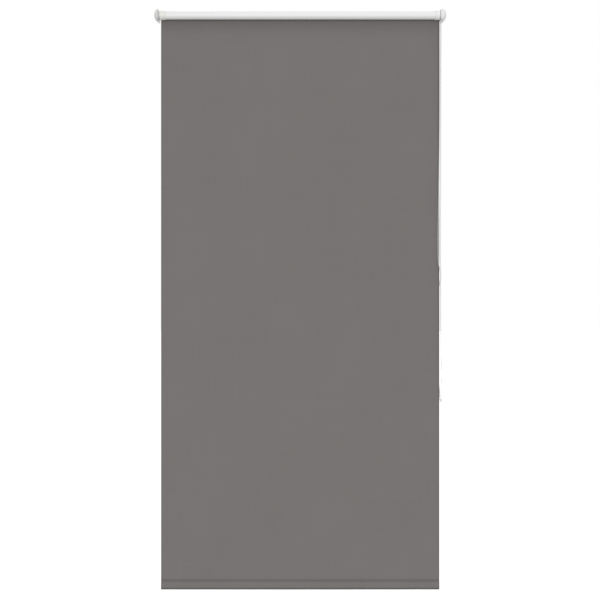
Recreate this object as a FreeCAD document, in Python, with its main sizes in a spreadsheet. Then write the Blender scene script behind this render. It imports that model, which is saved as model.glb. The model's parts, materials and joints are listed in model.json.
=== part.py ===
"""Chain-operated roller blind, hung fully down.

X runs along the width with the chain at +X, Y runs towards the wall and Z is up. The origin is the
middle of the four wall screws: on the wall's face, halfway along the blind, level with the roller.
"""
import FreeCAD, Part
import math
import os
from types import SimpleNamespace

import Sketcher

# Driving dimensions in millimetres, each one a named cell of the spreadsheet.
DIMENSIONS = {
    # fabric and its hem
    "fabric_width": 1110,
    "fabric_thickness": 0.4,
    "drop": 2283,
    "hem_height": 35,
    "hem_thickness": 5.6,
    "hem_play": 0.3,
    "hem_spare": 5,
    "bar_drop": 1.5,
    "bar_height": 28,
    "bar_thickness": 3.6,
    "bar_wall": 1,
    "bar_inset": 10,
    "cap_length": 9.6,
    "cap_proud": 0.5,
    "tongue_length": 8,
    "tongue_play": 0.3,
    # roller
    "axis_setback": 38,
    "tube_radius": 15,
    "tube_wall": 1.1,
    "tube_left": 532,
    "tube_right": 535,
    "channel_floor": 11.1,
    "channel_half": 2.8,
    "channel_wall": 0.9,
    "mouth_half": 1.1,
    "rib_height": 1.6,
    "rib_half": 1,
    "spline_clearance": 0.15,
    "spline_to_fabric": 0.3,
    "fabric_reach": 17.35,
    "plug_radius": 13.5,
    "plug_floor": 10.8,
    "plug_slots": 4,
    "plug_slot_half": 3.2,
    "plug_length": 31,
    "collar_radius": 17,
    "collar_gap": 0.2,
    "collar_end_left": 556,
    "collar_end_right": 550,
    "collar_taper": 7,
    "collar_lip": 0.6,
    "crown_lip": 3.4,
    "crown_lip_bore": 14.2,
    "key_width": 3,
    "key_from_start": 12,
    "key_from_end": 6,
    "key_play": 0.4,
    # brackets and covers
    "plate_start": 562.4,
    "plate_thickness": 1.5,
    "plate_radius": 22,
    "neck_half": 16.5,
    "neck_front": 12,
    "neck_play": 0.3,
    "flange_end": 572,
    "flange_half": 15.5,
    "screw_across": 1134,
    "screw_up": 22,
    "screw_hole": 4.5,
    "fit_gap": 0.1,
    "cover_base": 562.6,
    "cover_apex": 578,
    "cover_radius": 24,
    "cover_wall": 1.6,
    "cover_tip": 3,
    "notch_depth": 4.5,
    "notch_front": 34,
    "notch_back": 20,
    "notch_top": 15,
    # chain wheel, chain and clutch
    "wheel_middle": 556.3,
    "wheel_half": 3.75,
    "wheel_gap_half": 2.6,
    "wheel_rim": 11.2,
    "wheel_flange": 13.2,
    "pockets": 12,
    "bead_pitch": 6,
    "bead_radius": 2.25,
    "bead_clearance": 0.2,
    "link_radius": 0.75,
    "link_clearance": 0.2,
    "hub_radius": 5.2,
    "hub_start": 500.5,
    "groove_start": 1.9,
    "groove_width": 1.4,
    "groove_depth": 1,
    "clip_play": 0.15,
    "clip_reach": 3.4,
    "clip_opening": 4,
    "running_clearance": 0.06,
    "sleeve_inner": 8.2,
    "sleeve_outer": 9.1,
    "sleeve_start": 510,
    "window_half": 4,
    "window_margin": 2,
    "crown_bore": 9.5,
    "housing_start": 555,
    "housing_plate": 560.4,
    "housing_wall": 1.8,
    "lid_thickness": 1,
    "guard_radius": 14.6,
    "guard_wall": 1.4,
    "strand_room": 3.4,
    "strand_floor": 0.6,
    "spigot_half": 3.5,
    "screw_shank": 1.5,
    "screw_bore": 1.6,
    "screw_bore_depth": 14,
    "screw_length": 12,
    "screw_head": 5.25,
    "screw_head_height": 2.4,
    "screw_head_edge": 0.8,
    "cross_half": 2.6,
    "cross_arm": 0.45,
    "cross_depth": 1.2,
    # idler
    "pin_radius": 3,
    "pin_lead": 1,
    "pin_guide": 2.2,
    "pin_tail": 15,
    "pin_end": 564.4,
    "pin_shoulder": 547.9,
    "pin_flange": 5.1,
    "pin_flange_length": 2.5,
    "cavity_radius": 5.6,
    "cavity_end": 548.2,
    "bush_radius": 6,
    "bush_flange": 15.5,
    "bush_boss": 4.6,
    "bush_reach": 2,
    "bush_floor": 0.8,
}
PAST = 1  # how far a cutting sketch reaches past the material

# The chain's route, from the front of the chain wheel down to the bottom of the loop and up to the
# back of the wheel. The back strand leans over the fabric's edge and changes to its other side.
CHAIN_ROUTE = [
    (556.3, -49.46, -9),
    (556.2, -49.35, -70),
    (555.7, -48.8, -190),
    (555.2, -47.4, -420),
    (555.0, -44.9, -820),
    (555.6, -42.8, -1100),
    (556.9, -41.2, -1280),
    (558.2, -40.4, -1357),
    (561.4, -39.9, -1402),
    (563.0, -39.6, -1436),
    (557.5, -39.3, -1461),
    (558.2, -39.0, -1497),
    (560.4, -39.0, -1532),
    (560.6, -8.8, -1532),
    (558.6, -8.6, -1494),
    (553.6, -9.2, -1444),
    (550.6, -10.4, -1374),
    (549.6, -11.6, -1250),
    (550.0, -12.4, -1146),
    (552.8, -12.2, -1086),
    (560.8, -12.8, -1050),
    (562.6, -22.5, -1024),
    (553.6, -28.6, -1000),
    (549.2, -27.6, -965),
    (548.8, -27.2, -905),
    (549.8, -27.0, -790),
    (552.6, -26.8, -640),
    (554.9, -26.7, -420),
    (555.9, -26.6, -210),
    (556.2, -26.55, -80),
    (556.3, -26.54, -9),
]
ARC_SHARE = 0.45  # how much of the shorter run each arc of the route takes
CONNECTOR_RUN = 16  # the run of the route that the chain's connector sits on
CONNECTOR_LENGTH = 15
CONNECTOR_RADIUS = 3.3
CONNECTOR_ROUNDING = 1.2
CONNECTOR_PLAY = 0.05

WRAP_SPRINGS = 3
WRAP_TURNS = 8
WRAP_PITCH = 1.15
WRAP_WIRE = 0.5
WRAP_RADIUS = 6.05
WRAP_SPACING = 12.5
WRAP_START = 513.5
WRAP_TANG = 1.8

RETURN_TURNS = 12
RETURN_WIRE = 0.45
RETURN_RADIUS = 4
RETURN_START = 505.2
RETURN_PLAY = 0.05
CAP_PLAY = 0.05

ALONG_X = FreeCAD.Rotation(FreeCAD.Vector(0, 1, 0), 90)


class Size:
    """A length that carries both its value and the spreadsheet expression behind it."""

    def __init__(self, value, text):
        self.value = value
        self.text = text

    def joined(self, sign, other, value):
        return Size(value, f"({self.text} {sign} {size(other).text})")

    def __add__(self, other):
        return self.joined("+", other, self.value + size(other).value)

    def __sub__(self, other):
        return self.joined("-", other, self.value - size(other).value)

    def __mul__(self, other):
        return self.joined("*", other, self.value * size(other).value)

    def __truediv__(self, other):
        return self.joined("/", other, self.value / size(other).value)

    def __neg__(self):
        return Size(-self.value, f"(-{self.text})")


def size(number):
    """A plain number as a Size."""
    if isinstance(number, Size):
        return number
    return Size(float(number), f"({float(number)})")


def make_sheet(doc):
    """Put the driving dimensions in the spreadsheet and return them by name."""
    sheet = doc.addObject("Spreadsheet::Sheet", "Sizes")
    for row, (alias, value) in enumerate(DIMENSIONS.items(), 1):
        sheet.set(f"A{row}", alias.replace("_", " "))
        sheet.set(f"B{row}", str(value))
        sheet.setAlias(f"B{row}", alias)
    doc.recompute()
    return SimpleNamespace(**{a: Size(float(v), f"Sizes.{a}") for a, v in DIMENSIONS.items()})


def bind(item, prop, length):
    """Tie a property to the spreadsheet."""
    item.setExpression(prop, size(length).text)


def place(item, x=0, y=0, z=0, turn=FreeCAD.Rotation()):
    """Place an object at sizes from the sheet."""
    spots = [size(x), size(y), size(z)]
    item.Placement = FreeCAD.Placement(FreeCAD.Vector(*[s.value for s in spots]), turn)
    for axis, spot in zip("xyz", spots):
        bind(item, f"Placement.Base.{axis}", spot)


# Sketches


def new_body(doc, label):
    """An empty PartDesign body for one sub-part."""
    body = doc.addObject("PartDesign::Body", label)
    body.Label = label
    return body


def new_sketch(body, role, height=0):
    """A sketch on one of the body's origin planes, moved along that plane's normal."""
    plane = next(f for f in body.Origin.OriginFeatures if f.Role == role)
    sketch = body.newObject("Sketcher::SketchObject", f"{body.Name}_sketch")
    sketch.AttachmentSupport = (plane, "")
    sketch.MapMode = "FlatFace"
    bind(sketch, "AttachmentOffset.Base.z", height)
    return sketch


def constrain(sketch, length, *what):
    """Add a dimension to the sketch and tie it to the spreadsheet."""
    number = sketch.addConstraint(Sketcher.Constraint(*what, length.value))
    sketch.setExpression(f"Constraints[{number}]", length.text)


def pin(sketch, item, end, x, y):
    """Hold one point of the sketch at x, y from its origin."""
    constrain(sketch, size(x), "DistanceX", -1, 1, item, end)
    constrain(sketch, size(y), "DistanceY", -1, 1, item, end)


def draw_outline(sketch, corners):
    """A closed outline of straight lines through corners given as pairs of sizes."""
    spots = [FreeCAD.Vector(size(x).value, size(y).value, 0) for x, y in corners]
    ends = spots[1:] + spots[:1]
    lines = [sketch.addGeometry(Part.LineSegment(*pair), False) for pair in zip(spots, ends)]
    for line, following in zip(lines, lines[1:] + lines[:1]):
        sketch.addConstraint(Sketcher.Constraint("Coincident", line, 2, following, 1))
    for line, (x, y) in zip(lines, corners):
        pin(sketch, line, 1, x, y)


def draw_box(sketch, left, right, low, high):
    """A rectangle between four sizes."""
    draw_outline(sketch, [(left, low), (right, low), (right, high), (left, high)])


def draw_circle(sketch, x, y, radius):
    """A circle about a point given by sizes."""
    middle = FreeCAD.Vector(size(x).value, size(y).value, 0)
    ring = sketch.addGeometry(Part.Circle(middle, FreeCAD.Vector(0, 0, 1), radius.value), False)
    pin(sketch, ring, 3, x, y)
    constrain(sketch, radius, "Radius", ring)


def draw_half_circle(sketch, x, y, radius, start):
    """A half circle about a point, counterclockwise from start, which is a multiple of 90 degrees."""
    middle = FreeCAD.Vector(size(x).value, size(y).value, 0)
    ring = Part.Circle(middle, FreeCAD.Vector(0, 0, 1), radius.value)
    arc = Part.ArcOfCircle(ring, math.radians(start), math.radians(start + 180))
    number = sketch.addGeometry(arc, False)
    pin(sketch, number, 3, x, y)
    constrain(sketch, radius, "Radius", number)
    level = start % 180 == 0
    for end in (1, 2):
        kind, length = ("DistanceY", size(y)) if level else ("DistanceX", size(x))
        constrain(sketch, length, kind, -1, 1, number, end)
    return number


def join(sketch, first, first_end, second, second_end):
    """A line from one point of the sketch to another."""
    start = sketch.getPoint(first, first_end)
    end = sketch.getPoint(second, second_end)
    line = sketch.addGeometry(Part.LineSegment(start, end), False)
    sketch.addConstraint(Sketcher.Constraint("Coincident", line, 1, first, first_end))
    sketch.addConstraint(Sketcher.Constraint("Coincident", line, 2, second, second_end))


def draw_half_ring(sketch, x, y, inner, outer):
    """The upper half of a ring."""
    out = draw_half_circle(sketch, x, y, outer, 0)
    within = draw_half_circle(sketch, x, y, inner, 0)
    join(sketch, out, 1, within, 1)
    join(sketch, out, 2, within, 2)


def draw_upright_slot(sketch, x, y, height, width):
    """A slot with round ends, taller than it is wide, about a point."""
    half = (height - width) / 2
    top = draw_half_circle(sketch, x, y + half, width / 2, 0)
    bottom = draw_half_circle(sketch, x, y - half, width / 2, 180)
    join(sketch, top, 2, bottom, 1)
    join(sketch, bottom, 2, top, 1)


# Features


def pad(body, sketch, length, both_ways=False, backwards=False):
    """Extrude a sketch into material."""
    feature = body.newObject("PartDesign::Pad", f"{body.Name}_pad")
    feature.Profile = sketch
    bind(feature, "Length", length)
    feature.Midplane = both_ways
    feature.Reversed = backwards
    return feature


def pocket(body, sketch, length, both_ways=False, backwards=False):
    """Cut a sketch out of the body, and make sure that it takes material away."""
    body.Document.recompute()
    before = body.Shape.Volume
    feature = body.newObject("PartDesign::Pocket", f"{body.Name}_pocket")
    feature.Profile = sketch
    bind(feature, "Length", length)
    feature.Midplane = both_ways
    feature.Reversed = backwards
    body.Document.recompute()
    if not body.Shape.Volume < before - 0.01:
        raise ValueError(f"{feature.Name} cuts nothing")
    return feature


def turned(body, setback, outline):
    """Revolve an outline of (position along X, radius) pairs about the roller's axis."""
    sketch = new_sketch(body, "XZ_Plane", setback)
    draw_outline(sketch, outline)
    feature = body.newObject("PartDesign::Revolution", f"{body.Name}_turned")
    feature.Profile = sketch
    feature.ReferenceAxis = (sketch, ["H_Axis"])
    feature.Angle = 360
    return feature


def repeat_round(body, feature, setback, count):
    """Repeat a feature evenly round the roller's axis."""
    line = new_sketch(body, "XZ_Plane", setback)
    pattern = body.newObject("PartDesign::PolarPattern", f"{body.Name}_pattern")
    pattern.Originals = [feature]
    pattern.Axis = (line, ["H_Axis"])
    pattern.Angle = 360
    bind(pattern, "Occurrences", count)
    body.Tip = pattern
    return pattern


def chamfer_round_edges(body, radius, width, tolerance=0.01):
    """Chamfer every full circle of the body that has the given radius."""
    body.Document.recompute()
    base = body.Tip
    names = [
        f"Edge{n}"
        for n, edge in enumerate(base.Shape.Edges, 1)
        if edge.Curve.TypeId == "Part::GeomCircle"
        and abs(edge.Curve.Radius - radius.value) < tolerance
    ]
    feature = body.newObject("PartDesign::Chamfer", f"{body.Name}_chamfer")
    feature.Base = (base, names)
    bind(feature, "Size", width)
    return feature


# Roller


def roller_tube(doc, d):
    """Extruded tube with an inward channel for the fabric's spline and three stiffening ribs."""
    body = new_body(doc, "roller_tube")
    length = d.tube_left + d.tube_right
    section = new_sketch(body, "YZ_Plane", -d.tube_left)
    draw_circle(section, -d.axis_setback, 0, d.tube_radius)
    draw_circle(section, -d.axis_setback, 0, d.tube_radius - d.tube_wall)
    pad(body, section, length)
    bore = d.tube_radius - d.tube_wall
    overlap = d.tube_wall / 2
    inside = new_sketch(body, "YZ_Plane", -d.tube_left)
    half = d.channel_half
    draw_box(inside, d.channel_floor - d.axis_setback, bore + overlap - d.axis_setback, -half, half)
    inner = bore - d.rib_height
    rib = d.rib_half
    draw_box(inside, -bore - overlap - d.axis_setback, -inner - d.axis_setback, -rib, rib)
    for low, high in ((inner, bore + overlap), (-bore - overlap, -inner)):
        draw_box(inside, -rib - d.axis_setback, rib - d.axis_setback, low, high)
    pad(body, inside, length)
    groove = new_sketch(body, "YZ_Plane", -d.tube_left)
    floor = d.channel_floor + d.channel_wall - d.axis_setback
    lip = bore - d.axis_setback
    out = d.tube_radius + PAST - d.axis_setback
    wide = half - d.channel_wall
    narrow = d.mouth_half
    corners = [(floor, -wide), (lip, -wide), (lip, -narrow), (out, -narrow)]
    corners += [(out, narrow), (lip, narrow), (lip, wide), (floor, wide)]
    draw_outline(groove, corners)
    pocket(body, groove, length, backwards=True)


def fabric_spline(doc, d):
    """Plastic strip that locks the fabric's top edge into the tube's channel and stands proud of it."""
    body = new_body(doc, "fabric_spline")
    gap = d.spline_clearance
    section = new_sketch(body, "YZ_Plane", -d.tube_left)
    floor = d.channel_floor + d.channel_wall + gap - d.axis_setback
    lip = d.tube_radius - d.tube_wall - gap - d.axis_setback
    tip = d.fabric_reach - d.spline_to_fabric - d.axis_setback
    wide = d.channel_half - d.channel_wall - gap
    narrow = d.mouth_half - gap
    corners = [(floor, -wide), (lip, -wide), (lip, -narrow), (tip, -narrow)]
    corners += [(tip, narrow), (lip, narrow), (lip, wide), (floor, wide)]
    draw_outline(section, corners)
    pad(body, section, d.tube_left + d.tube_right)


def slot_plug(body, d, start, length):
    """Cut the four slots of a plug that clear the tube's channel and ribs."""
    sketch = new_sketch(body, "YZ_Plane", start)
    near = d.plug_floor - d.axis_setback
    far = d.tube_radius - d.axis_setback
    draw_box(sketch, near, far, -d.plug_slot_half, d.plug_slot_half)
    cut = pocket(body, sketch, length, backwards=True)
    repeat_round(body, cut, d.axis_setback, d.plug_slots)


def drive_crown(doc, d):
    """Crown at the chain end: a lipped collar outside the tube and a slotted plug inside it."""
    body = new_body(doc, "drive_crown")
    start = d.tube_right - d.plug_length
    face = d.tube_right + d.collar_gap
    end = d.collar_end_right
    edge = end + d.crown_lip
    outline = [(start, d.crown_bore), (start, d.plug_radius), (face, d.plug_radius)]
    outline += [(face, d.collar_radius), (edge, d.collar_radius), (edge, d.crown_lip_bore)]
    outline += [(end, d.crown_lip_bore), (end, d.crown_bore)]
    turned(body, d.axis_setback, outline)
    chamfer_round_edges(body, d.collar_radius, d.collar_lip)
    slot_plug(body, d, start, d.plug_length)
    key = new_sketch(body, "XY_Plane")
    inner = -d.sleeve_inner - d.axis_setback
    outer = -d.crown_bore - d.key_play - d.axis_setback
    draw_box(key, start + d.key_from_start, end - d.key_from_end, outer, inner)
    pad(body, key, d.key_width, both_ways=True)


def idler_plug(doc, d):
    """Plug at the other end: a collar with a tapered shoulder, and a cavity for the sprung pin."""
    body = new_body(doc, "idler_plug")
    start = -d.collar_end_left
    face = -d.tube_left - d.collar_gap
    inner_end = -d.tube_left + d.plug_length
    shoulder = -d.cavity_end
    hole = d.pin_radius + d.fit_gap
    outline = [(start, hole), (start, d.collar_radius), (face - d.collar_taper, d.collar_radius)]
    outline += [(face, d.tube_radius + d.collar_lip), (face, d.plug_radius), (inner_end, d.plug_radius)]
    outline += [(inner_end, d.cavity_radius), (shoulder, d.cavity_radius), (shoulder, hole)]
    turned(body, d.axis_setback, outline)
    slot_plug(body, d, face, d.plug_length + d.collar_gap)


def idler_cap(doc, d):
    """Round plug that closes the cavity and seats the pin's spring."""
    body = new_body(doc, "idler_cap")
    start = size(-RETURN_START)
    end = -d.tube_left + d.plug_length
    radius = d.cavity_radius - CAP_PLAY
    turned(body, d.axis_setback, [(start, size(0)), (start, radius), (end, radius), (end, size(0))])


def idler_pin(doc, d):
    """Steel pin that carries the roller in its bush, with the flange that its spring pushes on."""
    body = new_body(doc, "idler_pin")
    back = -d.pin_shoulder
    front = back + d.pin_flange_length
    tail = front + d.pin_tail
    end = -d.pin_end
    outline = [(end, size(0)), (end, d.pin_radius - d.pin_lead), (end + d.pin_lead, d.pin_radius)]
    outline += [(back, d.pin_radius), (back, d.pin_flange), (front, d.pin_flange)]
    outline += [(front, d.pin_guide), (tail, d.pin_guide), (tail, size(0))]
    turned(body, d.axis_setback, outline)


# Brackets and covers


def bracket(doc, d, label, side, hole):
    """Steel angle: a round side plate, its neck to the wall and a flange with two screw holes."""
    body = new_body(doc, label)
    start = d.plate_start if side > 0 else -d.plate_start - d.plate_thickness
    plate = new_sketch(body, "YZ_Plane", start)
    draw_circle(plate, -d.axis_setback, 0, d.plate_radius)
    hole(plate)
    pad(body, plate, d.plate_thickness)
    neck = new_sketch(body, "YZ_Plane", start)
    draw_box(neck, d.neck_front - d.axis_setback, size(0), -d.neck_half, d.neck_half)
    pad(body, neck, d.plate_thickness)
    flange = new_sketch(body, "XZ_Plane")
    edges = [d.plate_start, d.flange_end]
    near, far = edges if side > 0 else [-edges[1], -edges[0]]
    draw_box(flange, near, far, -d.flange_half, d.flange_half)
    pad(body, flange, d.plate_thickness)
    screws = new_sketch(body, "XZ_Plane")
    across = d.screw_across / 2 if side > 0 else -d.screw_across / 2
    for up in (d.screw_up / 2, -d.screw_up / 2):
        draw_circle(screws, across, up, d.screw_hole / 2)
    pocket(body, screws, d.plate_thickness, backwards=True)


def bracket_right(doc, d):
    """Bracket at the chain end, with a square hole for the clutch hub's spigot."""

    def square(sketch):
        half = d.spigot_half + d.fit_gap
        draw_box(sketch, -half - d.axis_setback, half - d.axis_setback, -half, half)

    bracket(doc, d, "bracket_right", 1, square)


def bracket_left(doc, d):
    """Bracket at the idler end, with a round hole for the bush."""

    def ring(sketch):
        draw_circle(sketch, -d.axis_setback, 0, d.bush_radius + d.fit_gap / 2)

    bracket(doc, d, "bracket_left", -1, ring)


def bracket_bush(doc, d):
    """Plastic bush that the idler pin turns in."""
    body = new_body(doc, "bracket_bush")
    inner = -d.plate_start + d.bush_boss
    outer = -d.plate_start - d.plate_thickness - d.bush_reach
    bore = d.pin_radius + d.running_clearance
    closed = outer + d.bush_floor
    outline = [(inner, bore), (inner, d.bush_flange), (-d.plate_start, d.bush_flange)]
    outline += [(-d.plate_start, d.bush_radius), (outer, d.bush_radius), (outer, size(0))]
    outline += [(closed, size(0)), (closed, bore)]
    turned(body, d.axis_setback, outline)


def draw_quarter_oval(sketch, x, depth, radius, tip):
    """A quarter of an upright oval that bulges towards +X, with a flat of half-width tip at its end."""
    top = FreeCAD.Vector(x.value, radius.value, 0)
    middle = FreeCAD.Vector(x.value, 0, 0)
    oval = Part.Ellipse(top, FreeCAD.Vector((x - depth).value, 0, 0), middle)
    turn = math.acos(tip.value / radius.value)
    arc = sketch.addGeometry(Part.ArcOfEllipse(oval, 2 * math.pi - turn, 2 * math.pi), False)
    pin(sketch, arc, 3, x, 0)
    first = sketch.GeometryCount
    sketch.exposeInternalGeometry(arc)
    constrain(sketch, x, "DistanceX", -1, 1, first, 1)
    constrain(sketch, radius * 2, "Distance", first)
    constrain(sketch, depth * 2, "Distance", first + 1)
    constrain(sketch, x, "DistanceX", -1, 1, arc, 2)
    constrain(sketch, tip, "DistanceY", -1, 1, arc, 1)
    high = sketch.getPoint(arc, 1)
    flat = sketch.addGeometry(Part.LineSegment(high, FreeCAD.Vector(high.x, 0, 0)), False)
    sketch.addConstraint(Sketcher.Constraint("Coincident", flat, 1, arc, 1))
    sketch.addConstraint(Sketcher.Constraint("Vertical", flat))
    constrain(sketch, size(0), "DistanceY", -1, 1, flat, 2)
    corner = sketch.addGeometry(Part.LineSegment(top, middle), False)
    sketch.addConstraint(Sketcher.Constraint("Coincident", corner, 1, arc, 2))
    pin(sketch, corner, 2, x, 0)
    join(sketch, corner, 2, flat, 2)


def dome(body, d, kind, inset):
    """A round dome about the roller's axis, added or cut, shrunk by an inset."""
    profile = new_sketch(body, "XZ_Plane", d.axis_setback)
    depth = d.cover_apex - d.cover_base - inset
    draw_quarter_oval(profile, d.cover_base, depth, d.cover_radius - inset, d.cover_tip)
    feature = body.newObject(f"PartDesign::{kind}", f"{body.Name}_dome")
    feature.Profile = profile
    feature.ReferenceAxis = (profile, ["H_Axis"])
    feature.Angle = 360


def covers(doc, d):
    """Thin domed covers that clip over the brackets, the left one a mirror image of the right."""
    body = new_body(doc, "cover_right")
    dome(body, d, "Revolution", 0)
    doc.recompute()
    before = body.Shape.Volume
    dome(body, d, "Groove", d.cover_wall)
    doc.recompute()
    if not body.Shape.Volume < before / 2:
        raise ValueError("the cover isn't hollow")
    notch = new_sketch(body, "XY_Plane", -d.notch_top)
    base = d.cover_base
    draw_box(notch, base - PAST, base + d.notch_depth, -d.notch_front, -d.notch_back)
    pocket(body, notch, d.cover_radius)
    slot = new_sketch(body, "XY_Plane")
    outer = d.plate_start + d.plate_thickness + d.neck_play
    draw_box(slot, base - PAST, outer, d.neck_front - d.axis_setback, d.cover_radius - d.axis_setback + PAST)
    pocket(body, slot, (d.neck_half + d.neck_play) * 2, both_ways=True)
    left = doc.addObject("Part::Mirroring", "cover_left")
    left.Source = body
    left.Base = FreeCAD.Vector(0, 0, 0)
    left.Normal = FreeCAD.Vector(1, 0, 0)
    left.Label = "cover_left"


# Clutch


def clutch_housing(doc, d):
    """Drum round the chain wheel, with a lid, a guard over the chain and two chain openings."""
    body = new_body(doc, "clutch_housing")
    y = -d.axis_setback
    depth = d.housing_plate - d.housing_start
    plate = new_sketch(body, "YZ_Plane", d.housing_plate)
    draw_circle(plate, y, 0, d.cover_radius)
    draw_circle(plate, y, 0, d.hub_radius + d.fit_gap / 2)
    pad(body, plate, d.plate_start - d.housing_plate)
    rim = new_sketch(body, "YZ_Plane", d.housing_start)
    draw_circle(rim, y, 0, d.cover_radius)
    draw_circle(rim, y, 0, d.cover_radius - d.housing_wall)
    pad(body, rim, depth)
    lid = new_sketch(body, "YZ_Plane", d.housing_start)
    draw_circle(lid, y, 0, d.cover_radius - d.housing_wall / 2)
    draw_circle(lid, y, 0, d.guard_radius)
    pad(body, lid, d.lid_thickness)
    guard = new_sketch(body, "YZ_Plane", d.housing_start)
    draw_half_ring(guard, y, 0, d.guard_radius, d.guard_radius + d.guard_wall)
    pad(body, guard, depth)
    strands = new_sketch(body, "XY_Plane")
    near = d.housing_start - PAST
    far = d.housing_plate - d.strand_floor
    reach = pitch_radius(d)
    for middle in (y - reach, y + reach):
        draw_box(strands, near, far, middle - d.strand_room, middle + d.strand_room)
    pocket(body, strands, d.cover_radius + PAST)


def clutch_hub(doc, d):
    """Fixed core of the clutch, with a clip groove at one end and a square spigot at the other."""
    body = new_body(doc, "clutch_hub")
    groove = d.hub_start + d.groove_start
    after = groove + d.groove_width
    waist = d.hub_radius - d.groove_depth
    plate = d.plate_start
    outline = [(d.hub_start, size(0)), (d.hub_start, d.hub_radius), (groove, d.hub_radius)]
    outline += [(groove, waist), (after, waist), (after, d.hub_radius)]
    outline += [(plate, d.hub_radius), (plate, size(0))]
    turned(body, d.axis_setback, outline)
    half = d.spigot_half
    spigot = new_sketch(body, "YZ_Plane", d.plate_start)
    draw_box(spigot, -half - d.axis_setback, half - d.axis_setback, -half, half)
    pad(body, spigot, d.plate_thickness)
    screw = new_sketch(body, "YZ_Plane", d.plate_start + d.plate_thickness)
    draw_circle(screw, -d.axis_setback, 0, d.screw_bore)
    pocket(body, screw, d.screw_bore_depth)


def hub_clip(doc, d):
    """Retaining ring in the hub's groove that keeps the crown on."""
    body = new_body(doc, "hub_clip")
    start = d.hub_start + d.groove_start + d.clip_play
    end = start + d.groove_width - d.clip_play * 2
    inner = d.hub_radius - d.groove_depth + d.clip_play
    outer = d.hub_radius + d.clip_reach
    turned(body, d.axis_setback, [(start, inner), (start, outer), (end, outer), (end, inner)])
    gap = new_sketch(body, "XZ_Plane", d.axis_setback)
    draw_box(gap, start - PAST, end + PAST, d.clip_reach, outer + PAST)
    pocket(body, gap, d.clip_opening, both_ways=True)


def hub_screw(doc, d):
    """Screw that draws the hub's spigot against the bracket, with a cross slot."""
    body = new_body(doc, "hub_screw")
    face = d.plate_start + d.plate_thickness + d.fit_gap / 2
    shank = d.screw_shank
    head = d.screw_head
    tip = face - d.screw_length
    end = face + d.screw_head_height
    edge = d.screw_head_edge
    outline = [(tip, size(0)), (tip, shank), (face, shank), (face, head), (end - edge, head)]
    outline += [(end, head - edge), (end, size(0))]
    turned(body, d.axis_setback, outline)
    slot = new_sketch(body, "YZ_Plane", end)
    long, short = d.cross_half, d.cross_arm
    corners = [(-long, -short), (-short, -short), (-short, -long), (short, -long)]
    corners += [(short, -short), (long, -short), (long, short), (short, short)]
    corners += [(short, long), (-short, long), (-short, short), (-long, short)]
    draw_outline(slot, [(y - d.axis_setback, z) for y, z in corners])
    pocket(body, slot, d.cross_depth)


def pitch_radius(d):
    """Radius of the beads' middles on the chain wheel."""
    return d.bead_pitch * d.pockets / (2 * math.pi)


def chain_wheel(doc, d):
    """Sprocket with a pocket for each bead, and the sleeve that works the clutch."""
    body = new_body(doc, "chain_wheel")
    left = d.wheel_middle - d.wheel_half
    right = d.wheel_middle + d.wheel_half
    gap_left = d.wheel_middle - d.wheel_gap_half
    gap_right = d.wheel_middle + d.wheel_gap_half
    bore = d.hub_radius + d.running_clearance
    outline = [(right, bore), (right, d.wheel_flange), (gap_right, d.wheel_flange)]
    outline += [(gap_right, d.wheel_rim), (gap_left, d.wheel_rim), (gap_left, d.wheel_flange)]
    outline += [(left, d.wheel_flange), (left, d.sleeve_outer), (d.sleeve_start, d.sleeve_outer)]
    outline += [(d.sleeve_start, d.sleeve_inner), (left, d.sleeve_inner), (left, bore)]
    turned(body, d.axis_setback, outline)
    slot = new_sketch(body, "XZ_Plane", d.axis_setback)
    link = d.link_radius + d.link_clearance
    reach = pitch_radius(d)
    low, high = reach - link, d.wheel_rim + PAST
    draw_box(slot, d.wheel_middle - link, d.wheel_middle + link, low, high)
    groove = body.newObject("PartDesign::Groove", "chain_wheel_groove")
    groove.Profile = slot
    groove.ReferenceAxis = (slot, ["H_Axis"])
    groove.Angle = 360
    window = new_sketch(body, "XZ_Plane", d.axis_setback)
    margin = d.window_margin
    draw_box(window, d.sleeve_start + margin, left - margin, -d.window_half, d.window_half)
    pocket(body, window, d.sleeve_outer + PAST, backwards=True)
    seat = body.newObject("PartDesign::SubtractiveSphere", "chain_wheel_seat")
    bind(seat, "Radius", d.bead_radius + d.bead_clearance)
    plane = next(f for f in body.Origin.OriginFeatures if f.Role == "XY_Plane")
    seat.AttachmentSupport = (plane, "")
    seat.MapMode = "FlatFace"
    bind(seat, "AttachmentOffset.Base.x", d.wheel_middle)
    bind(seat, "AttachmentOffset.Base.y", reach - d.axis_setback)
    repeat_round(body, seat, d.axis_setback, d.pockets)


def helix_wire(radius, wire, pitch, turns, start, setback, tang=0):
    """One coil spring about the roller's axis, with an outward tang at its first end."""
    path = Part.makeHelix(pitch, pitch * turns, radius)
    ring = Part.Circle(FreeCAD.Vector(radius, 0, 0), FreeCAD.Vector(0, 1, 0), wire)
    coil = Part.Wire(path.Edges).makePipeShell([Part.Wire([ring.toShape()])], True, True)
    if tang:
        spot = FreeCAD.Vector(radius, 0, 0)
        coil = coil.fuse(Part.makeCylinder(wire, tang, spot, FreeCAD.Vector(1, 0, 0)))
        coil = coil.removeSplitter()
    coil.Placement = FreeCAD.Placement(FreeCAD.Vector(start, -setback, 0), ALONG_X)
    return coil


def plain_feature(doc, label, shape):
    """A shape made with Part's own functions."""
    feature = doc.addObject("Part::Feature", label)
    feature.Shape = shape
    feature.Label = label
    return feature


def wrap_springs(doc, d):
    """Wrap springs that grip the hub until the chain wheel's sleeve turns them loose."""
    starts = [WRAP_START + n * WRAP_SPACING for n in range(WRAP_SPRINGS)]
    height = (WRAP_RADIUS, WRAP_WIRE, WRAP_PITCH, WRAP_TURNS)
    coils = [helix_wire(*height, x, d.axis_setback.value, WRAP_TANG) for x in starts]
    plain_feature(doc, "wrap_springs", Part.makeCompound(coils))


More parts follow.
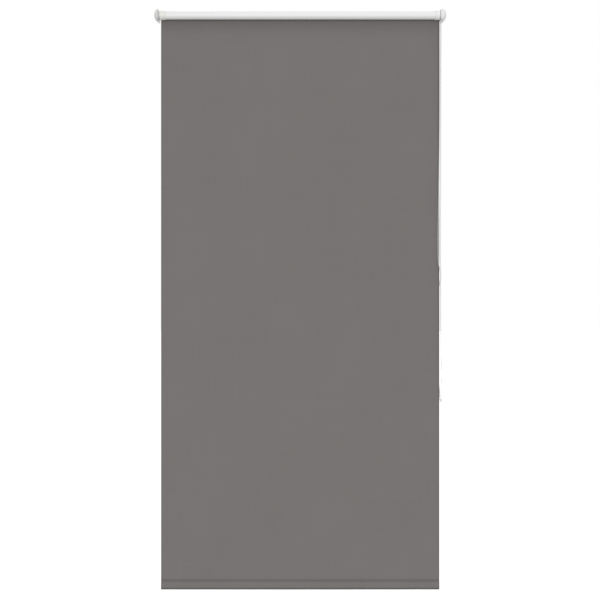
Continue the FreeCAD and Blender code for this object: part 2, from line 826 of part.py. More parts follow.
def idler_spring(doc, d):
    """Compression spring behind the idler pin's flange."""
    gap = RETURN_WIRE + RETURN_PLAY
    start = -d.pin_shoulder.value + d.pin_flange_length.value + gap
    end = -RETURN_START - gap
    pitch = (end - start) / RETURN_TURNS
    shape = (RETURN_RADIUS, RETURN_WIRE, pitch, RETURN_TURNS)
    plain_feature(doc, "idler_spring", helix_wire(*shape, start, d.axis_setback.value))


# Chain


def rounded_route(points):
    """The route as straight runs joined by tangent arcs, with the arcs' radii."""
    spots = [FreeCAD.Vector(*p) for p in points]
    edges, radii, here = [], [], spots[0]
    for before, corner, after in zip(spots, spots[1:], spots[2:]):
        back = (before - corner).normalize()
        on = (after - corner).normalize()
        turn = math.pi - back.getAngle(on)
        shorter = min((before - corner).Length, (after - corner).Length)
        reach = ARC_SHARE * shorter
        radius = reach / math.tan(turn / 2)
        start = corner + back * reach
        end = corner + on * reach
        bisector = (back + on).normalize()
        middle = corner + bisector * (radius / math.cos(turn / 2) - radius)
        edges.append(Part.LineSegment(here, start).toShape())
        edges.append(Part.Arc(start, middle, end).toShape())
        radii.append(radius)
        here = end
    edges.append(Part.LineSegment(here, spots[-1]).toShape())
    return Part.Wire(edges), radii


def bead_chain(doc, d):
    """The chain's free length as a plain round cord of the beads' diameter."""
    route, radii = rounded_route(CHAIN_ROUTE)
    radius = d.bead_radius.value
    start = FreeCAD.Vector(*CHAIN_ROUTE[0])
    way = FreeCAD.Vector(*CHAIN_ROUTE[1]) - start
    ring = Part.Wire([Part.Circle(start, way, radius).toShape()])
    tube = route.makePipeShell([ring], True, False)
    wanted = math.pi * radius * radius * route.Length
    print("chain radii", [round(r, 1) for r in radii])
    print(f"chain {route.Length:.1f} mm, volume {tube.Volume:.1f}, section x length {wanted:.1f}")
    if abs(tube.Volume / wanted - 1) > 0.01:
        raise ValueError("the chain's volume is wrong")
    plain_feature(doc, "bead_chain", tube)


def chain_connector(doc, d):
    """Clip that joins the chain's two ends into a loop, round one run of it."""
    first = FreeCAD.Vector(*CHAIN_ROUTE[CONNECTOR_RUN])
    last = FreeCAD.Vector(*CHAIN_ROUTE[CONNECTOR_RUN + 1])
    middle = (first + last) / 2
    way = (last - first).normalize()
    start = middle - way * (CONNECTOR_LENGTH / 2)
    body = Part.makeCylinder(CONNECTOR_RADIUS, CONNECTOR_LENGTH, start, way)
    rims = [e for e in body.Edges if e.Curve.TypeId == "Part::GeomCircle"]
    body = body.makeFillet(CONNECTOR_ROUNDING, rims)
    radius = d.bead_radius.value + CONNECTOR_PLAY
    bore = Part.makeCylinder(radius, CONNECTOR_LENGTH + 2 * PAST, start - way * PAST, way)
    plain_feature(doc, "chain_connector", body.cut(bore))


def chain_wrap(doc, d):
    """The beads that sit in the chain wheel's upper pockets, with the cord that links them."""
    reach = pitch_radius(d).value
    setback = d.axis_setback.value
    x = d.wheel_middle.value
    half_turn = range(DIMENSIONS["pockets"] // 2 + 1)
    angles = [2 * math.pi * n / DIMENSIONS["pockets"] for n in half_turn]
    spots = [FreeCAD.Vector(x, reach * math.cos(a) - setback, reach * math.sin(a)) for a in angles]
    below = FreeCAD.Vector(0, 0, -d.bead_pitch.value)
    spots = [spots[0] + below] + spots + [spots[-1] + below]
    beads = [Part.makeSphere(d.bead_radius.value, spot) for spot in spots]
    link = d.link_radius.value
    ring = Part.Wire([Part.Circle(spots[1], FreeCAD.Vector(0, 0, 1), link).toShape()])
    path = [Part.makeLine(spots[0], spots[1])]
    path.append(Part.Arc(spots[1], spots[len(spots) // 2], spots[-2]).toShape())
    path.append(Part.makeLine(spots[-2], spots[-1]))
    ring.translate(below)
    cord = Part.Wire(path).makePipeShell([ring], True, False)
    plain_feature(doc, "chain_wrap", cord.multiFuse(beads))


# Fabric and bottom bar


def block(doc, name, corner, lengths):
    """A box bound to the spreadsheet."""
    box = doc.addObject("Part::Box", name)
    for prop, length in zip(("Length", "Width", "Height"), lengths):
        bind(box, prop, length)
    place(box, *corner)
    return box


def fabric_panel(doc, d):
    """The hanging fabric, from the roller's spline down to the top of the hem."""
    top = size(0)
    bottom = d.hem_height - d.drop
    corner = (-d.fabric_width / 2, d.fabric_reach - d.axis_setback, bottom)
    lengths = (d.fabric_width, d.fabric_thickness, top - bottom)
    panel = block(doc, "fabric_panel", corner, lengths)
    panel.Label = "fabric_panel"


def hem_place(d):
    """Where the hem's middle is in Y and Z."""
    middle = d.fabric_reach + d.fabric_thickness / 2 - d.axis_setback
    return middle, d.hem_height / 2 - d.drop


def hem_pocket(doc, d):
    """The fabric folded round the bottom bar and closed by its seam."""
    body = new_body(doc, "hem_pocket")
    y, z = hem_place(d)
    section = new_sketch(body, "YZ_Plane", -d.fabric_width / 2)
    draw_upright_slot(section, y, z, d.hem_height - d.hem_play, d.hem_thickness)
    low = z - d.bar_drop
    wall = d.fabric_thickness * 2
    draw_upright_slot(section, y, low, d.hem_height - d.hem_spare, d.hem_thickness - wall)
    pad(body, section, d.fabric_width)


def bottom_bar(doc, d):
    """Hollow flat bar that weights the fabric."""
    body = new_body(doc, "bottom_bar")
    y, z = hem_place(d)
    length = d.fabric_width - d.bar_inset * 2
    section = new_sketch(body, "YZ_Plane", -length / 2)
    middle = z - d.bar_drop
    draw_upright_slot(section, y, middle, d.bar_height, d.bar_thickness)
    hollow = d.bar_wall * 2
    draw_upright_slot(section, y, middle, d.bar_height - hollow, d.bar_thickness - hollow)
    pad(body, section, length)


def bottom_bar_cap(doc, d, label, side):
    """End cap of the bottom bar, with a tongue inside it."""
    body = new_body(doc, label)
    y, z = hem_place(d)
    middle = z - d.bar_drop
    half = d.fabric_width / 2 - d.bar_inset
    right = side > 0
    head = new_sketch(body, "YZ_Plane", half if right else -half - d.cap_length)
    draw_upright_slot(head, y, middle, d.bar_height + d.cap_proud, d.bar_thickness + d.cap_proud)
    pad(body, head, d.cap_length)
    tongue = new_sketch(body, "YZ_Plane", half - d.tongue_length if right else -half)
    fit = d.bar_wall * 2 + d.tongue_play
    draw_upright_slot(tongue, y, middle, d.bar_height - fit, d.bar_thickness - fit)
    pad(body, tongue, d.tongue_length)


# Whole blind


def build(doc, d):
    """Make every sub-part and return them by their labels."""
    makers = [roller_tube, fabric_spline, drive_crown, idler_plug, idler_cap, idler_pin]
    makers += [idler_spring, bracket_left, bracket_right, bracket_bush, covers]
    makers += [clutch_housing, clutch_hub, hub_clip, hub_screw, chain_wheel, wrap_springs]
    makers += [bead_chain, chain_connector, chain_wrap, fabric_panel, hem_pocket, bottom_bar]
    for maker in makers:
        maker(doc, d)
    bottom_bar_cap(doc, d, "bottom_bar_cap_left", -1)
    bottom_bar_cap(doc, d, "bottom_bar_cap_right", 1)
    doc.recompute()
    labels = [m.__name__ for m in makers if m is not covers]
    labels += ["cover_left", "cover_right", "bottom_bar_cap_left", "bottom_bar_cap_right"]
    return {label: doc.getObjectsByLabel(label)[0] for label in labels}


def check(doc, parts):
    """Stop if any object failed or any sub-part has no valid shape."""
    for item in doc.Objects:
        if {"Invalid", "Error"} & set(item.State):
            raise ValueError(f"{item.Name} is {item.State}")
    for label, item in parts.items():
        if item.Shape.isNull() or not item.Shape.isValid():
            raise ValueError(f"{label} has no valid shape")


def main():
    doc = FreeCAD.newDocument("RollerBlind")
    d = make_sheet(doc)
    parts = build(doc, d)
    check(doc, parts)
    os.makedirs("parts", exist_ok=True)
    for label, item in parts.items():
        item.Shape.exportStep(f"parts/{label}.step")
        print(f"{label}: {len(item.Shape.Solids)} solid(s), {item.Shape.Volume:.0f} mm3")


main()
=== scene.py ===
"""Roller blind, hung fully down: cloth, hem, return spring and bead chain round the CAD frame."""
import json
import math

import bmesh
import bpy
import numpy as np
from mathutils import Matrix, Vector


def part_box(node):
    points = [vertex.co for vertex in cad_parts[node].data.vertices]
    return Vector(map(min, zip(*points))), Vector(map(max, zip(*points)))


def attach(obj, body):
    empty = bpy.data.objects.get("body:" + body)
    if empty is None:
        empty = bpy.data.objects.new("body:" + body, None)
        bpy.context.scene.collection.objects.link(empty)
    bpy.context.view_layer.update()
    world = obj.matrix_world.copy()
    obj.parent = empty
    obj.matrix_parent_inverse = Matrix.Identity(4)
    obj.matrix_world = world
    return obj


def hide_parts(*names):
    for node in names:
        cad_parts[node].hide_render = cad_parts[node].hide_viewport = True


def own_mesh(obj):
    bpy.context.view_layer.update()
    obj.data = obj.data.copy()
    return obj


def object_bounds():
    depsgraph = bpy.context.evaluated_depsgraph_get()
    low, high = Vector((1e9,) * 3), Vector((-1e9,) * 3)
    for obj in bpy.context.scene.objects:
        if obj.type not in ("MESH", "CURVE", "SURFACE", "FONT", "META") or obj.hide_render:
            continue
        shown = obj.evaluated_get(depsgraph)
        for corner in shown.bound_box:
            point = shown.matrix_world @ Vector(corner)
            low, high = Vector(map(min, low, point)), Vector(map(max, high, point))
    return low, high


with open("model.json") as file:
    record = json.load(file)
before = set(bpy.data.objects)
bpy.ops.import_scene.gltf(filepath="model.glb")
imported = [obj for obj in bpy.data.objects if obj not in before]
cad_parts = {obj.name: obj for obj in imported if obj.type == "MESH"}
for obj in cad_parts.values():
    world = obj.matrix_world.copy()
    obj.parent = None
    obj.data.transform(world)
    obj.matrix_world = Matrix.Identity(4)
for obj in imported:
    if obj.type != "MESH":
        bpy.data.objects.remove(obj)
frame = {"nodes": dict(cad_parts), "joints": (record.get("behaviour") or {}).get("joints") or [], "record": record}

MM = 0.001
CAD_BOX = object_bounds()
JOINTS = {joint["name"]: joint for joint in frame["joints"]}
AXIS_Y = JOINTS["roller_spin"]["pos_m"][1]

# The chain's route: down the front strand, round the bottom of the loop and up the back strand.
CHAIN_ROUTE = [
    (0.5563, -0.04946, -0.009),
    (0.5562, -0.04935, -0.070),
    (0.5557, -0.0488, -0.190),
    (0.5552, -0.0474, -0.420),
    (0.555, -0.0449, -0.820),
    (0.5556, -0.0428, -1.100),
    (0.5569, -0.0412, -1.280),
    (0.5582, -0.0404, -1.357),
    (0.5614, -0.0399, -1.402),
    (0.563, -0.0396, -1.436),
    (0.5575, -0.0393, -1.461),
    (0.5582, -0.039, -1.497),
    (0.5604, -0.039, -1.532),
    (0.5606, -0.0088, -1.532),
    (0.5586, -0.0086, -1.494),
    (0.5536, -0.0092, -1.444),
    (0.5506, -0.0104, -1.374),
    (0.5496, -0.0116, -1.250),
    (0.550, -0.0124, -1.146),
    (0.5528, -0.0122, -1.086),
    (0.5608, -0.0128, -1.050),
    (0.5626, -0.0225, -1.024),
    (0.5536, -0.0286, -1.000),
    (0.5492, -0.0276, -0.965),
    (0.5488, -0.0272, -0.905),
    (0.5498, -0.027, -0.790),
    (0.5526, -0.0268, -0.640),
    (0.5549, -0.0267, -0.420),
    (0.5559, -0.0266, -0.210),
    (0.5562, -0.02655, -0.080),
    (0.5563, -0.02654, -0.009),
]
BEAD_PITCH = 6 * MM
BEAD_RADIUS = 2.25 * MM
LINK_RADIUS = 0.7 * MM
WHEEL_POCKETS = 12

CLOTH_THICKNESS = 0.4 * MM
CLOTH_COLOUR = (0.184, 0.171, 0.167)
# The share of the cloth's colour that is left: painted shade in the seam's crease and on the hem's underside, and
# the thread's own darker tone.
SEAM_PAINTED_SHADE = 0.95
FOLD_PAINTED_SHADE = 0.64
THREAD_PRESS = 0.8
RETURN_WIRE = 0.45 * MM
RETURN_TURNS = 12


# Camera, floor and light


def place_camera():
    """A level camera square to the cloth, as far off as the picture's perspective needs."""
    distance = 2.8
    width_seen = 2.394  # across the picture, at the cloth
    above_hem = 1.155
    aside = 0.8 * MM  # to the left of the blind's middle
    cloth_low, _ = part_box("fabric_panel")
    hem_low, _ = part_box("hem_pocket")
    data = bpy.data.cameras.new("camera")
    data.sensor_width = 36
    data.lens = data.sensor_width * distance / width_seen
    camera = bpy.data.objects.new("camera", data)
    camera.location = (-aside, cloth_low.y - distance, hem_low.z + above_hem)
    camera.rotation_euler = (math.radians(90), 0, 0)
    bpy.context.collection.objects.link(camera)
    bpy.context.scene.camera = camera


def add_sun(name, strength, elevation, heading, softness):
    """A wide, soft sun. Heading 0 shines along +Y and 180 back from the wall."""
    data = bpy.data.lights.new(name, "SUN")
    data.energy = strength
    data.angle = math.radians(softness)
    lamp = bpy.data.objects.new(name, data)
    lamp.rotation_euler = (math.radians(90 - elevation), 0, math.radians(-heading))
    bpy.context.collection.objects.link(lamp)


def plain_light(nodes, strength):
    """A white background shader of a given strength."""
    shader = nodes.new("ShaderNodeBackground")
    shader.inputs["Color"].default_value = (1, 1, 1, 1)
    shader.inputs["Strength"].default_value = strength
    return shader.outputs["Background"]


def light_studio():
    """Even white surroundings, a soft key above, a broad front light and a weak light behind."""
    world = bpy.data.worlds.new("studio")
    bpy.context.scene.world = world
    world.use_nodes = True
    nodes, links = world.node_tree.nodes, world.node_tree.links
    nodes.clear()
    seen = plain_light(nodes, 1.0)
    lit = plain_light(nodes, 0.55)
    path = nodes.new("ShaderNodeLightPath")
    mix = nodes.new("ShaderNodeMixShader")
    out = nodes.new("ShaderNodeOutputWorld")
    links.new(path.outputs["Is Camera Ray"], mix.inputs["Fac"])
    links.new(lit, mix.inputs[1])
    links.new(seen, mix.inputs[2])
    links.new(mix.outputs["Shader"], out.inputs["Surface"])
    add_sun("key", 0.65, 58, -10, 30)
    add_sun("front", 1.13, -12, 6, 50)
    add_sun("back", 0.6, 25, 170, 60)
    bpy.context.scene.view_settings.view_transform = "Standard"


def lay_floor():
    """A plain pale floor a little below the hem. It casts no shadow, as the front light comes from lower."""
    below = 0.3
    reach = 30
    z = CAD_BOX[0].z - below
    corners = [(-reach, -reach, z), (reach, -reach, z), (reach, reach, z), (-reach, reach, z)]
    floor = make_object("floor", corners, [(0, 1, 2, 3)])
    floor.data.materials.append(floor_paint())
    floor.visible_diffuse = False
    floor.visible_glossy = False
    floor.visible_shadow = False


# Materials


def new_material(name, roughness, metallic=0.0):
    """An empty Principled material, its node tree and its shader."""
    material = bpy.data.materials.new(name)
    material.use_nodes = True
    shader = material.node_tree.nodes["Principled BSDF"]
    shader.inputs["Roughness"].default_value = roughness
    shader.inputs["Metallic"].default_value = metallic
    return material, material.node_tree, shader


def coordinates(tree, stretch=(1, 1, 1)):
    """The object's own coordinates, stretched."""
    where = tree.nodes.new("ShaderNodeTexCoord")
    mapping = tree.nodes.new("ShaderNodeMapping")
    mapping.inputs["Scale"].default_value = stretch
    tree.links.new(where.outputs["Object"], mapping.inputs["Vector"])
    return mapping.outputs["Vector"]


def noise(tree, scale, detail=3, stretch=(1, 1, 1)):
    """A noise value from 0 to 1 on the object's coordinates."""
    texture = tree.nodes.new("ShaderNodeTexNoise")
    texture.inputs["Scale"].default_value = scale
    texture.inputs["Detail"].default_value = detail
    tree.links.new(coordinates(tree, stretch), texture.inputs["Vector"])
    return texture.outputs["Fac"]


def waves(tree, scale, direction, distortion=0.0):
    """Bands across one axis, from 0 to 1."""
    texture = tree.nodes.new("ShaderNodeTexWave")
    texture.wave_type = "BANDS"
    texture.bands_direction = direction
    texture.wave_profile = "SIN"
    texture.inputs["Scale"].default_value = scale
    texture.inputs["Distortion"].default_value = distortion
    texture.inputs["Detail"].default_value = 1
    tree.links.new(coordinates(tree), texture.inputs["Vector"])
    return texture.outputs["Fac"]


def between(tree, value, low, high):
    """A value from 0 to 1 spread from low to high."""
    node = tree.nodes.new("ShaderNodeMapRange")
    node.inputs["To Min"].default_value = low
    node.inputs["To Max"].default_value = high
    tree.links.new(value, node.inputs["Value"])
    return node.outputs["Result"]


def combine(tree, operation, first, second):
    """Two values joined by arithmetic."""
    node = tree.nodes.new("ShaderNodeMath")
    node.operation = operation
    for value, socket in zip((first, second), node.inputs):
        if isinstance(value, (int, float)):
            socket.default_value = value
        else:
            tree.links.new(value, socket)
    return node.outputs["Value"]


def blend_shares(tree, first, first_share, second, second_share):
    """Two values added in the given shares."""
    left = combine(tree, "MULTIPLY", first, first_share)
    right = combine(tree, "MULTIPLY", second, second_share)
    return combine(tree, "ADD", left, right)


def tint(tree, factor, dark, light):
    """A colour between two by a factor."""
    node = tree.nodes.new("ShaderNodeMix")
    node.data_type = "RGBA"
    tree.links.new(factor, node.inputs["Factor"])
    node.inputs["A"].default_value = (*dark, 1)
    node.inputs["B"].default_value = (*light, 1)
    return node.outputs["Result"]


def shaded(colour, share):
    """A colour made darker or lighter by a share."""
    return tuple(min(1.0, c * share) for c in colour)


def bump(tree, shader, height, depth, strength=1.0):
    """Bump the shader by a height from 0 to 1, depth metres deep."""
    node = tree.nodes.new("ShaderNodeBump")
    node.inputs["Strength"].default_value = strength
    node.inputs["Distance"].default_value = depth
    tree.links.new(height, node.inputs["Height"])
    tree.links.new(node.outputs["Normal"], shader.inputs["Normal"])


def floor_paint():
    """Pale matt paint, a little uneven, that stays white away from the lights."""
    material, tree, shader = new_material("floor_paint", 0.9)
    colour = tint(tree, noise(tree, 1.5), (0.97, 0.97, 0.97), (1, 1, 1))
    tree.links.new(colour, shader.inputs["Base Color"])
    shader.inputs["Specular IOR Level"].default_value = 0
    shader.inputs["Emission Color"].default_value = (1, 1, 1, 1)
    shader.inputs["Emission Strength"].default_value = 0.45
    return material


def cloth_material(name, colour, painted_shade_and_thread_tone=1.0):
    """Plain weave: warp and weft threads, slubs along both, and a matt surface with some sheen."""
    material, tree, shader = new_material(name, 0.92)
    threads = 620  # the wave texture's scale that puts a thread every half millimetre
    warp = waves(tree, threads, "X", 0.4)
    weft = waves(tree, threads, "Z", 0.4)
    weave = combine(tree, "MULTIPLY", warp, weft)
    along = noise(tree, 260, 2, (1, 1, 0.02))
    across = noise(tree, 260, 2, (0.02, 1, 1))
    slubs = blend_shares(tree, along, 0.5, across, 0.5)
    cloud = noise(tree, 3.5, 2)
    mottle = blend_shares(tree, slubs, 0.7, cloud, 0.3)
    shade = blend_shares(tree, mottle, 0.75, weave, 0.25)
    # A share below 1 darkens the colour: painted shade for the seam's crease and the hem's underside, and the
    # thread's own darker tone.
    colours = tint(tree, shade, shaded(colour, 0.86 * painted_shade_and_thread_tone), shaded(colour, 1.14 * painted_shade_and_thread_tone))
    tree.links.new(colours, shader.inputs["Base Color"])
    tree.links.new(between(tree, slubs, 0.84, 0.98), shader.inputs["Roughness"])
    shader.inputs["Specular IOR Level"].default_value = 0.15
    shader.inputs["Sheen Weight"].default_value = 0.06
    shader.inputs["Sheen Roughness"].default_value = 0.5
    bump(tree, shader, combine(tree, "ADD", weave, slubs), 0.08 * MM, 0.6)
    return material


def plastic_material(name, colour, roughness, grain=0.02 * MM, gloss=0.4):
    """Moulded plastic: fine spark-eroded grain and slight unevenness of colour and shine."""
    material, tree, shader = new_material(name, roughness)
    cloud = noise(tree, 60, 4)
    colours = tint(tree, cloud, shaded(colour, 0.965), shaded(colour, 1.035))
    tree.links.new(colours, shader.inputs["Base Color"])
    fine = noise(tree, 2600, 2)
    patches = combine(tree, "MULTIPLY", fine, cloud)
    tree.links.new(between(tree, patches, roughness - 0.06, roughness + 0.14), shader.inputs["Roughness"])
    shader.inputs["Specular IOR Level"].default_value = gloss
    bump(tree, shader, fine, grain, 0.5)
    return material


def paint_material(name, colour):
    """Powder coat: a soft orange peel under a satin film."""
    material, tree, shader = new_material(name, 0.38)
    peel = noise(tree, 420, 2)
    cloud = noise(tree, 9, 3, (0.15, 1, 1))
    colours = tint(tree, cloud, shaded(colour, 0.975), shaded(colour, 1.02))
    tree.links.new(colours, shader.inputs["Base Color"])
    tree.links.new(between(tree, peel, 0.3, 0.46), shader.inputs["Roughness"])
    shader.inputs["Coat Weight"].default_value = 0.15
    shader.inputs["Coat Roughness"].default_value = 0.25
    bump(tree, shader, peel, 0.03 * MM, 0.45)
    return material


def zinc_material(name, colour):
    """Zinc-plated steel: rolling marks, spangle and scuffs."""
    material, tree, shader = new_material(name, 0.36, 0.9)
    rolled = noise(tree, 900, 3, (1, 1, 0.03))
    spangle = tree.nodes.new("ShaderNodeTexVoronoi")
    spangle.inputs["Scale"].default_value = 420
    tree.links.new(coordinates(tree), spangle.inputs["Vector"])
    mixed = combine(tree, "MULTIPLY", rolled, between(tree, spangle.outputs["Distance"], 0.7, 1.3))
    tree.links.new(tint(tree, mixed, shaded(colour, 0.8), shaded(colour, 1.2)), shader.inputs["Base Color"])
    tree.links.new(between(tree, rolled, 0.26, 0.5), shader.inputs["Roughness"])
    bump(tree, shader, rolled, 0.015 * MM, 0.4)
    return material


def extruded_material(name, colour):
    """Mill-finish aluminium with die lines along X."""
    material, tree, shader = new_material(name, 0.4, 0.95)
    lines = noise(tree, 1500, 3, (0.01, 1, 1))
    tree.links.new(tint(tree, lines, shaded(colour, 0.86), shaded(colour, 1.08)), shader.inputs["Base Color"])
    tree.links.new(between(tree, lines, 0.3, 0.52), shader.inputs["Roughness"])
    bump(tree, shader, lines, 0.02 * MM, 0.4)
    return material


def make_materials():
    """One finish for each of the record's material slots."""
    return {
        "fabric": cloth_material("cloth", CLOTH_COLOUR),
        "tube_white": paint_material("tube_white", (0.82, 0.82, 0.82)),
        "bracket_paint": paint_material("bracket_paint", (0.78, 0.78, 0.78)),
        "white_plastic": plastic_material("white_plastic", (0.83, 0.83, 0.83), 0.42),
        "pale_plastic": plastic_material("pale_plastic", (0.70, 0.70, 0.70), 0.45),
        "cream_plastic": plastic_material("cream_plastic", (0.79, 0.79, 0.745), 0.45),
        "grey_plastic": plastic_material("grey_plastic", (0.30, 0.30, 0.30), 0.5),
        "chain_plastic": plastic_material("chain_plastic", (0.74, 0.74, 0.73), 0.3, 0.01 * MM, 0.5),
        "steel": zinc_material("zinc_steel", (0.62, 0.62, 0.60)),
        "bar_aluminium": extruded_material("bar_aluminium", (0.72, 0.72, 0.72)),
    }


def paint_nodes(materials):
    """Give every CAD node that stays in view the finish of its slot."""
    for part in frame["record"]["subparts"]:
        node = frame["nodes"][part["node"]]
        node.data.materials.clear()
        node.data.materials.append(materials[part["material_slot"]])


# Mesh helpers


def make_object(name, points, faces):
    """A smooth mesh object with its faces turned outwards."""
    mesh = bpy.data.meshes.new(name)
    mesh.from_pydata([tuple(p) for p in points], [], faces)
    work = bmesh.new()
    work.from_mesh(mesh)
    bmesh.ops.recalc_face_normals(work, faces=work.faces)
    work.to_mesh(mesh)
    work.free()
    mesh.polygons.foreach_set("use_smooth", [True] * len(mesh.polygons))
    item = bpy.data.objects.new(name, mesh)
    bpy.context.collection.objects.link(item)
    return item


def ring_faces(rows, columns, first=0):
    """Faces of a tube made of rows of closed rings."""
    faces = []
    for row in range(rows - 1):
        for column in range(columns):
            after = (column + 1) % columns
            here, there = first + row * columns, first + (row + 1) * columns
            faces.append((here + column, here + after, there + after, there + column))
    return faces


def closed_tube(rings, sides, first=0):
    """Faces of a tube made of rings of points, with both ends closed."""
    last = first + (rings - 1) * sides
    ends = [tuple(start + side for side in range(sides)) for start in (first, last)]
    return ring_faces(rings, sides, first) + ends


def ease(share):
    """Smooth step from 0 to 1."""
    share = min(1.0, max(0.0, share))
    return share * share * (3 - 2 * share)


def finish_piece(item, body, slot, material, *nodes):
    """Ride a piece on its body, in its material, in place of its CAD nodes. The slot argument is not used."""
    if not item.data.materials:
        item.data.materials.append(material)
    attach(item, body)
    if nodes:
        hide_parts(*nodes)


# Cloth


def ripple(x, z):
    """How far the hanging cloth stands off its plane, in metres."""
    slow = math.sin(2.3 * x + 0.7) * math.sin(1.9 * z + 0.4)
    quick = math.sin(9.1 * x - 1.3 * z) * math.sin(4.7 * z + 1.1 * x)
    return 0.35 * MM * slow + 0.12 * MM * quick


def cloth_panel(material):
    """The cloth from its spline on the roller down to the hem's seam."""
    low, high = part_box("fabric_panel")
    tube_low, tube_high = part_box("roller_tube")
    plane = (low.y + high.y) / 2
    half = CLOTH_THICKNESS / 2
    columns, rows, bends = 110, 190, 6
    bend = 1.5 * MM
    crest = 1.35 * MM
    run_in = plane - bend - (tube_high.y + 0.1 * MM)
    blend_in = 8 * MM
    across = np.linspace(low.x, high.x, columns)
    straight = [(z, 0.0) for z in np.linspace(low.z, crest - bend, rows)]
    turns = [(None, math.pi / 2 * n / bends) for n in range(1, bends + 1)]

    def inside(x):
        """How fully the cloth turns in at x: 0 beside the tube, 1 over it."""
        return ease(min(x - tube_low.x, tube_high.x - x) / blend_in)

    def middle(x, z, turn):
        """The cloth's middle and its outward direction in the YZ plane."""
        steady = ease(min(z - low.z, -z + 0.05) / 0.25) if z is not None else 0
        offset = ripple(x, z) * steady if z is not None else 0
        if turn == 0:
            return plane + offset, z, 1.0, 0.0
        share = inside(x)
        angle = turn * share
        y = plane - (bend - bend * math.cos(angle)) * share
        rise = bend * math.sin(angle) if share > 0.5 else bend * math.sin(turn)
        return y, crest - bend + rise, math.cos(angle), math.sin(angle)

    levels = straight + turns + [("end", math.pi / 2)]
    points = []
    for z, turn in levels:
        last = z == "end"
        ring = [middle(x, None if last else z, turn) for x in across]
        shift = [run_in * inside(x) if last else 0 for x in across]
        front = [(x, y - dy * half - s, h - dz * half) for x, (y, h, dy, dz), s in zip(across, ring, shift)]
        back = [(x, y + dy * half - s, h + dz * half) for x, (y, h, dy, dz), s in zip(across, ring, shift)]
        points += front + back[::-1]
    count = 2 * columns
    faces = ring_faces(len(levels), count)
    for first in (0, (len(levels) - 1) * count):
        for column in range(columns - 1):
            near, far = first + column, first + count - 1 - column
            faces.append((near, near + 1, far - 1, far))
    panel = make_object("cloth_panel", points, faces)
    finish_piece(panel, "root", "fabric", material, "fabric_panel")
    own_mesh(panel)
    return panel


def hem_profile(top, bottom):
    """The folded cloth's outer line, from its front top round the bar to its back top, as (y, z)."""
    bulge = 2.6 * MM
    front_top, back_top = -0.22 * MM, 0.62 * MM
    seam = top - 3.2 * MM
    wide = top - 4.9 * MM
    nose = bottom + bulge
    heights = [top, top - 0.8 * MM, top - 1.6 * MM, top - 2.4 * MM, seam]
    crease = [0, 0.02, 0.16, 0.02, 0]
    steps = 7
    slope = [seam + (wide - seam) * n / steps for n in range(1, steps + 1)]
    sides = [wide + (nose - wide) * n / 5 for n in range(1, 6)]

    def side(flat, sign):
        line = [(flat - sign * c * MM, z) for z, c in zip(heights, crease)]
        line += [(flat + (sign * bulge - flat) * ease((seam - z) / (seam - wide)), z) for z in slope]
        return line + [(sign * bulge, z) for z in sides]

    front = side(front_top, -1)
    back = side(back_top, 1)
    turns = 12
    under = [math.pi * n / turns for n in range(1, turns)]
    round_end = [(-bulge * math.cos(a), nose - bulge * math.sin(a)) for a in under]
    return front + round_end + back[::-1]


def offset_inward(line, depth):
    """The inner line of a folded sheet, depth inside its outer line."""
    inner = []
    for n, (y, z) in enumerate(line):
        before, after = line[max(n - 1, 0)], line[min(n + 1, len(line) - 1)]
        along = Vector((after[0] - before[0], after[1] - before[1])).normalized()
        inner.append((y - along.y * depth, z + along.x * depth))
    return inner


def hem_fold(material, seam_painted_shade_material, bottom_painted_shade_material):
    """The cloth folded round the bottom bar, with the creased seam above it, and painted shade on the seam's band
    and on the hem's lowest 9 mm.
    """
    low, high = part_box("hem_pocket")
    panel_low, panel_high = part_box("fabric_panel")
    middle = (panel_low.y + panel_high.y) / 2
    outer = hem_profile(panel_low.z + 0.2 * MM, low.z)
    inner = offset_inward(outer, CLOTH_THICKNESS)
    columns = 160
    section = outer + inner[::-1]
    points = []
    for x in np.linspace(low.x, high.x, columns):
        sway = 0.06 * MM * math.sin(31 * x) + 0.04 * MM * math.sin(83 * x + 1)
        points += [(x, middle + y + sway * ease((panel_low.z - z) / (6 * MM)), z) for y, z in section]
    count = len(section)
    faces = ring_faces(columns, count)
    for first in (0, (columns - 1) * count):
        for n in range(len(outer) - 1):
            faces.append((first + n, first + n + 1, first + count - 2 - n, first + count - 1 - n))
    hem = make_object("hem_fold", points, faces)
    hem.data.materials.append(material)
    hem.data.materials.append(seam_painted_shade_material)
    hem.data.materials.append(bottom_painted_shade_material)
    # Painted shade: faces in the seam's band take the darkened seam copy, and faces in the hem's lowest 9 mm take
    # the darker bottom copy.
    seam_painted_shade_low = panel_low.z - 2.6 * MM
    bottom_painted_shade_high = low.z + 9 * MM
    for face in hem.data.polygons:
        if face.center.z > seam_painted_shade_low:
            face.material_index = 1
        elif face.center.z < bottom_painted_shade_high:
            face.material_index = 2
    finish_piece(hem, "hem_bar", "fabric", material, "hem_pocket")
    return hem


def seam_stitches(material):
    """Lockstitches along the hem's seam, front and back."""
    low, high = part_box("hem_pocket")
    panel_low, panel_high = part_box("fabric_panel")
    middle = (panel_low.y + panel_high.y) / 2
    pitch, length = 3.2 * MM, 2.5 * MM
    wide, thick = 0.28 * MM, 0.2 * MM
    z = panel_low.z - 1.4 * MM
    sides, rings = 6, 5
    count = int((high.x - low.x - 6 * MM) / pitch)
    start = -(count - 1) * pitch / 2
    points, faces = [], []
    for out, flat in ((-1, -0.2 * MM), (1, 0.6 * MM)):
        for n in range(count):
            x = start + n * pitch
            first = len(points)
            for ring in range(rings):
                share = ring / (rings - 1)
                size = math.sin(math.pi * (0.12 + 0.76 * share))
                slant = 0.12 * MM * (share - 0.5)
                for side in range(sides):
                    angle = 2 * math.pi * side / sides
                    across = wide * size * math.cos(angle) + slant
                    away = flat + out * thick * (0.2 * size + size * math.sin(angle) * 0.8)
                    points.append((x + (share - 0.5) * length, middle + away, z + across))
            faces += closed_tube(rings, sides, first)
    stitches = make_object("hem_stitches", points, faces)
    finish_piece(stitches, "hem_bar", "fabric", material)
    return stitches


# Chain


